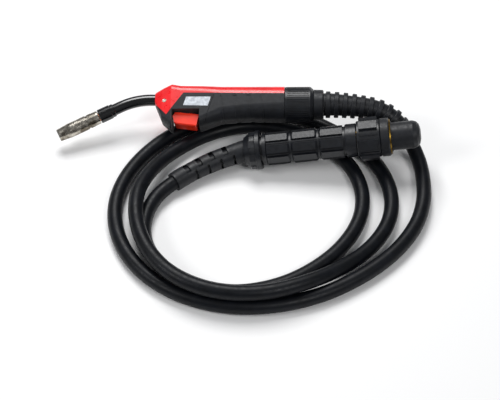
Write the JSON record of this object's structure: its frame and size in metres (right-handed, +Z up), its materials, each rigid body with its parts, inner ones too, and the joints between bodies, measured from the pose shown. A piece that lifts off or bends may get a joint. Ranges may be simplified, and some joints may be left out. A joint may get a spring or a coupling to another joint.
{
  "type": "mig welding torch",
  "caption": "Gas-cooled MIG welding torch: bent neck with nozzle, red and black pistol-style handle with trigger, coiled rubber lead and a capped central machine connector.",
  "frame": {"origin": "the middle of the torch, measured over its nozzle, handle and the boot behind it, without the free lead and its connector; the floor that the lead lies on is 42.3 mm below", "axes": "+X along the torch from the nozzle towards the boot behind the handle, +Y away from the coiled lead, +Z up from the floor"},
  "size_m": [0.4471, 0.3139, 0.072],
  "materials": {
    "red_plastic": "bright red, lightly textured hard plastic",
    "trigger_red": "orange-red, smooth hard plastic",
    "black_plastic": "satin black moulded plastic",
    "gloss_black": "glossy black moulded plastic",
    "black_rubber": "satin black rubber",
    "lead_rubber": "smooth black rubber jacket",
    "nickel": "bright nickel plate",
    "brass": "turned brass",
    "copper": "bare copper",
    "steel": "plain steel",
    "spring_steel": "spring wire",
    "silver_label": "blank satin silver plate",
    "switch_grey": "dark grey moulded plastic",
    "wire_insulation": "coloured insulation",
    "gold_line": "golden line"
  },
  "bodies": {
    "torch": {"spine_left": "red_plastic", "spine_right": "red_plastic", "grip_left": "black_rubber", "grip_right": "black_rubber", "trigger_pin": "steel", "pin_ears": "black_plastic", "switch_body": "switch_grey", "switch_leads": "wire_insulation", "trigger_spring": "spring_steel", "neck_clamp": "brass", "cheek_screws": "nickel", "power_block": "brass", "handle_conductor": "copper", "handle_ferrule": "copper", "label_plates": "silver_label", "rear_collar": "black_plastic", "boot_ring": "black_rubber", "rear_boot": "black_rubber", "handle_lead": "lead_rubber", "contact_tip": "copper", "gas_diffuser": "brass", "nozzle_spring": "spring_steel", "spring_seat": "brass", "neck_insulator": "gloss_black", "neck_tube": "copper", "neck_sleeve": "gloss_black", "wire_liner": "spring_steel", "plug_boot": "black_rubber", "plug_lead": "lead_rubber", "boot_nut": "black_plastic", "barrel": "black_plastic", "end_ring": "black_plastic", "plug_conductor": "copper", "plug_ferrule": "copper", "euro_body": "brass", "gas_pin": "brass", "pin_seal": "black_rubber", "liner_nut": "brass", "contact_spring_upper": "spring_steel", "contact_spring_lower": "spring_steel", "lead_1": "lead_rubber", "lead_2": "lead_rubber", "lead_3": "lead_rubber"},
    "nozzle": {"gas_nozzle": "nickel"},
    "trigger": {"trigger": "trigger_red"},
    "switch_plunger": {"switch_plunger": "black_plastic"},
    "contact_upper": {"contact_pin_upper": "brass"},
    "contact_lower": {"contact_pin_lower": "brass"},
    "coupling_nut": {"coupling_nut": "black_plastic"},
    "cap": {"protective_cap": "black_rubber", "cap_band": "gold_line"}
  },
  "joints": [
    {"name": "nozzle_slide", "type": "slide", "parent": "torch", "child": "nozzle", "axis": [-0.8998, -0.3867, -0.202], "range_m": [0, 0.055]},
    {"name": "trigger_squeeze", "type": "hinge", "parent": "torch", "child": "trigger", "pos_m": [-0.06418, 0.00037, -0.00306], "axis": [-0.0652, -0.3387, 0.9386], "range_deg": [0, 5], "stiffness_Nm_per_rad": 2, "springref_deg": -2.86, "deforming": ["trigger_spring"]},
    {"name": "plunger_slide", "type": "slide", "parent": "torch", "child": "switch_plunger", "axis": [0.0241, 0.9398, 0.3408], "range_m": [0, 0.0014]},
    {"name": "contact_upper_slide", "type": "slide", "parent": "torch", "child": "contact_upper", "axis": [-0.9865, 0.0122, -0.1633], "range_m": [0, 0.003], "stiffness_N_per_m": 300, "springref_m": -0.002, "deforming": ["contact_spring_upper"]},
    {"name": "contact_lower_slide", "type": "slide", "parent": "torch", "child": "contact_lower", "axis": [-0.9865, 0.0122, -0.1633], "range_m": [0, 0.003], "stiffness_N_per_m": 300, "springref_m": -0.002, "deforming": ["contact_spring_lower"]},
    {"name": "coupling_spin", "type": "hinge", "parent": "torch", "child": "coupling_nut", "pos_m": [0.1619, -0.05181, 0.00327], "axis": [0.9865, -0.0122, 0.1633], "continuous": true},
    {"name": "cap_pull", "type": "slide", "parent": "torch", "child": "cap", "axis": [0.9865, -0.0122, 0.1633], "range_m": [0, 0.055]}
  ],
  "couplings": [
    {"joint": "plunger_slide", "follows": "trigger_squeeze", "m_per_rad": 0.015}
  ]
}
